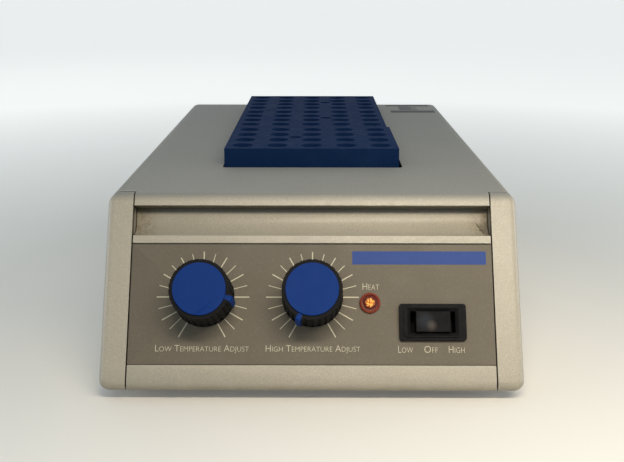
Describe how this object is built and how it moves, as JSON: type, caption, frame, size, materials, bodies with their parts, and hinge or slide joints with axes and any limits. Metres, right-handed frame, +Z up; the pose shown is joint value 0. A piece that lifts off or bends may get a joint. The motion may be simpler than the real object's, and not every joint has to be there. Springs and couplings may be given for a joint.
{
  "type": "dry bath incubator",
  "caption": "Bench dry block heater: low painted case, sloping control panel with temperature knobs, lamp and rocker switch, and lift-out drilled aluminium tube blocks in a heated well.",
  "frame": {"origin": "on the bench, at the middle of the whole part's footprint", "axes": "+X to the user's right, +Y from the control panel to the back, +Z up"},
  "size_m": [0.1982, 0.3745, 0.0976],
  "materials": {
    "case_paint": "fine speckled satin",
    "overlay_print": "matte printed",
    "pan_metal": "satin",
    "liner_steel": "mill",
    "plate_aluminium": "mill",
    "sink_aluminium": "black anodised",
    "block_blue": "blue anodised satin",
    "heater_rubber": "matte",
    "foot_rubber": "matte",
    "wire_sleeve": "matte",
    "spacer_ceramic": "matte",
    "insulation_fibre": "matte fibre",
    "small_steel": "satin",
    "control_metal": "satin",
    "lamp_amber": "translucent gloss",
    "dark_plastic": "satin",
    "cap_blue": "satin",
    "terminal_brass": "plated",
    "terminal_plastic": "matte",
    "board_laminate": "satin",
    "can_sleeve": "satin",
    "core_iron": "varnished",
    "coil_tape": "satin",
    "fuse_tube": "clear"
  },
  "bodies": {
    "case": {"top_cover": "case_paint", "left_cheek": "case_paint", "right_cheek": "case_paint", "front_bezel": "case_paint", "control_overlay": "overlay_print", "base_pan": "pan_metal", "rear_panel": "pan_metal", "well_liner": "liner_steel", "heater_plate": "plate_aluminium", "heater_mat": "heater_rubber", "heater_clamp_plate": "pan_metal", "plate_spacers": "spacer_ceramic", "insulation_blanket": "insulation_fibre", "insulation_pad": "insulation_fibre", "thermal_cutout": "small_steel", "temperature_sensor": "small_steel", "low_pot": "control_metal", "high_pot": "control_metal", "low_pot_nut": "small_steel", "high_pot_nut": "small_steel", "lamp_lens": "lamp_amber", "lamp_holder": "dark_plastic", "switch_housing": "dark_plastic", "switch_terminals": "terminal_brass", "power_inlet": "dark_plastic", "inlet_pins": "terminal_brass", "inlet_screws": "small_steel", "fuse_holder": "dark_plastic", "fuse_nut": "dark_plastic", "circuit_board": "board_laminate", "board_standoffs": "terminal_brass", "board_screws": "small_steel", "heat_sink": "sink_aluminium", "triac": "dark_plastic", "capacitors": "can_sleeve", "terminal_block": "terminal_plastic", "transformer_core": "core_iron", "transformer_coil": "coil_tape", "rubber_feet": "foot_rubber", "foot_screws": "small_steel", "cover_screws": "small_steel", "mains_wires": "wire_sleeve", "heater_leads": "wire_sleeve", "sensor_lead": "wire_sleeve"},
    "low_dial": {"low_knob": "dark_plastic", "low_knob_cap": "cap_blue", "low_shaft": "small_steel"},
    "high_dial": {"high_knob": "dark_plastic", "high_knob_cap": "cap_blue", "high_shaft": "small_steel"},
    "rocker": {"switch_rocker": "dark_plastic"},
    "front_block": {"heat_block_front": "block_blue"},
    "middle_block": {"heat_block_middle": "block_blue"},
    "rear_block": {"heat_block_rear": "block_blue"},
    "fuse_drawer": {"fuse_carrier": "dark_plastic", "fuse_glass": "fuse_tube", "fuse_ends": "terminal_brass"},
    "fuse_turn_cap": {"fuse_cap": "dark_plastic"}
  },
  "joints": [
    {"name": "low_dial_turn", "type": "hinge", "parent": "case", "child": "low_dial", "pos_m": [-0.05, -0.16252, 0.04448], "axis": [0, 0.8755, -0.4833], "range_deg": [-257, 43]},
    {"name": "high_dial_turn", "type": "hinge", "parent": "case", "child": "high_dial", "pos_m": [0.00041, -0.16252, 0.04448], "axis": [0, 0.8755, -0.4833], "range_deg": [0, 300]},
    {"name": "rocker_tilt", "type": "hinge", "parent": "case", "child": "rocker", "pos_m": [0.0559, -0.16682, 0.03338], "axis": [0, 0.4833, 0.8755], "range_deg": [-12, 12]},
    {"name": "front_block_lift", "type": "slide", "parent": "case", "child": "front_block", "axis": [0, 0, 1], "range_m": [0, 0.06]},
    {"name": "middle_block_lift", "type": "slide", "parent": "case", "child": "middle_block", "axis": [0, 0, 1], "range_m": [0, 0.06]},
    {"name": "rear_block_lift", "type": "slide", "parent": "case", "child": "rear_block", "axis": [0, 0, 1], "range_m": [0, 0.06]},
    {"name": "fuse_pull", "type": "slide", "parent": "case", "child": "fuse_drawer", "axis": [0, 1, 0], "range_m": [0, 0.03]},
    {"name": "fuse_cap_turn", "type": "hinge", "parent": "fuse_drawer", "child": "fuse_turn_cap", "pos_m": [-0.0768, 0.1783, 0.042], "axis": [0, 1, 0], "range_deg": [0, 90]}
  ]
}
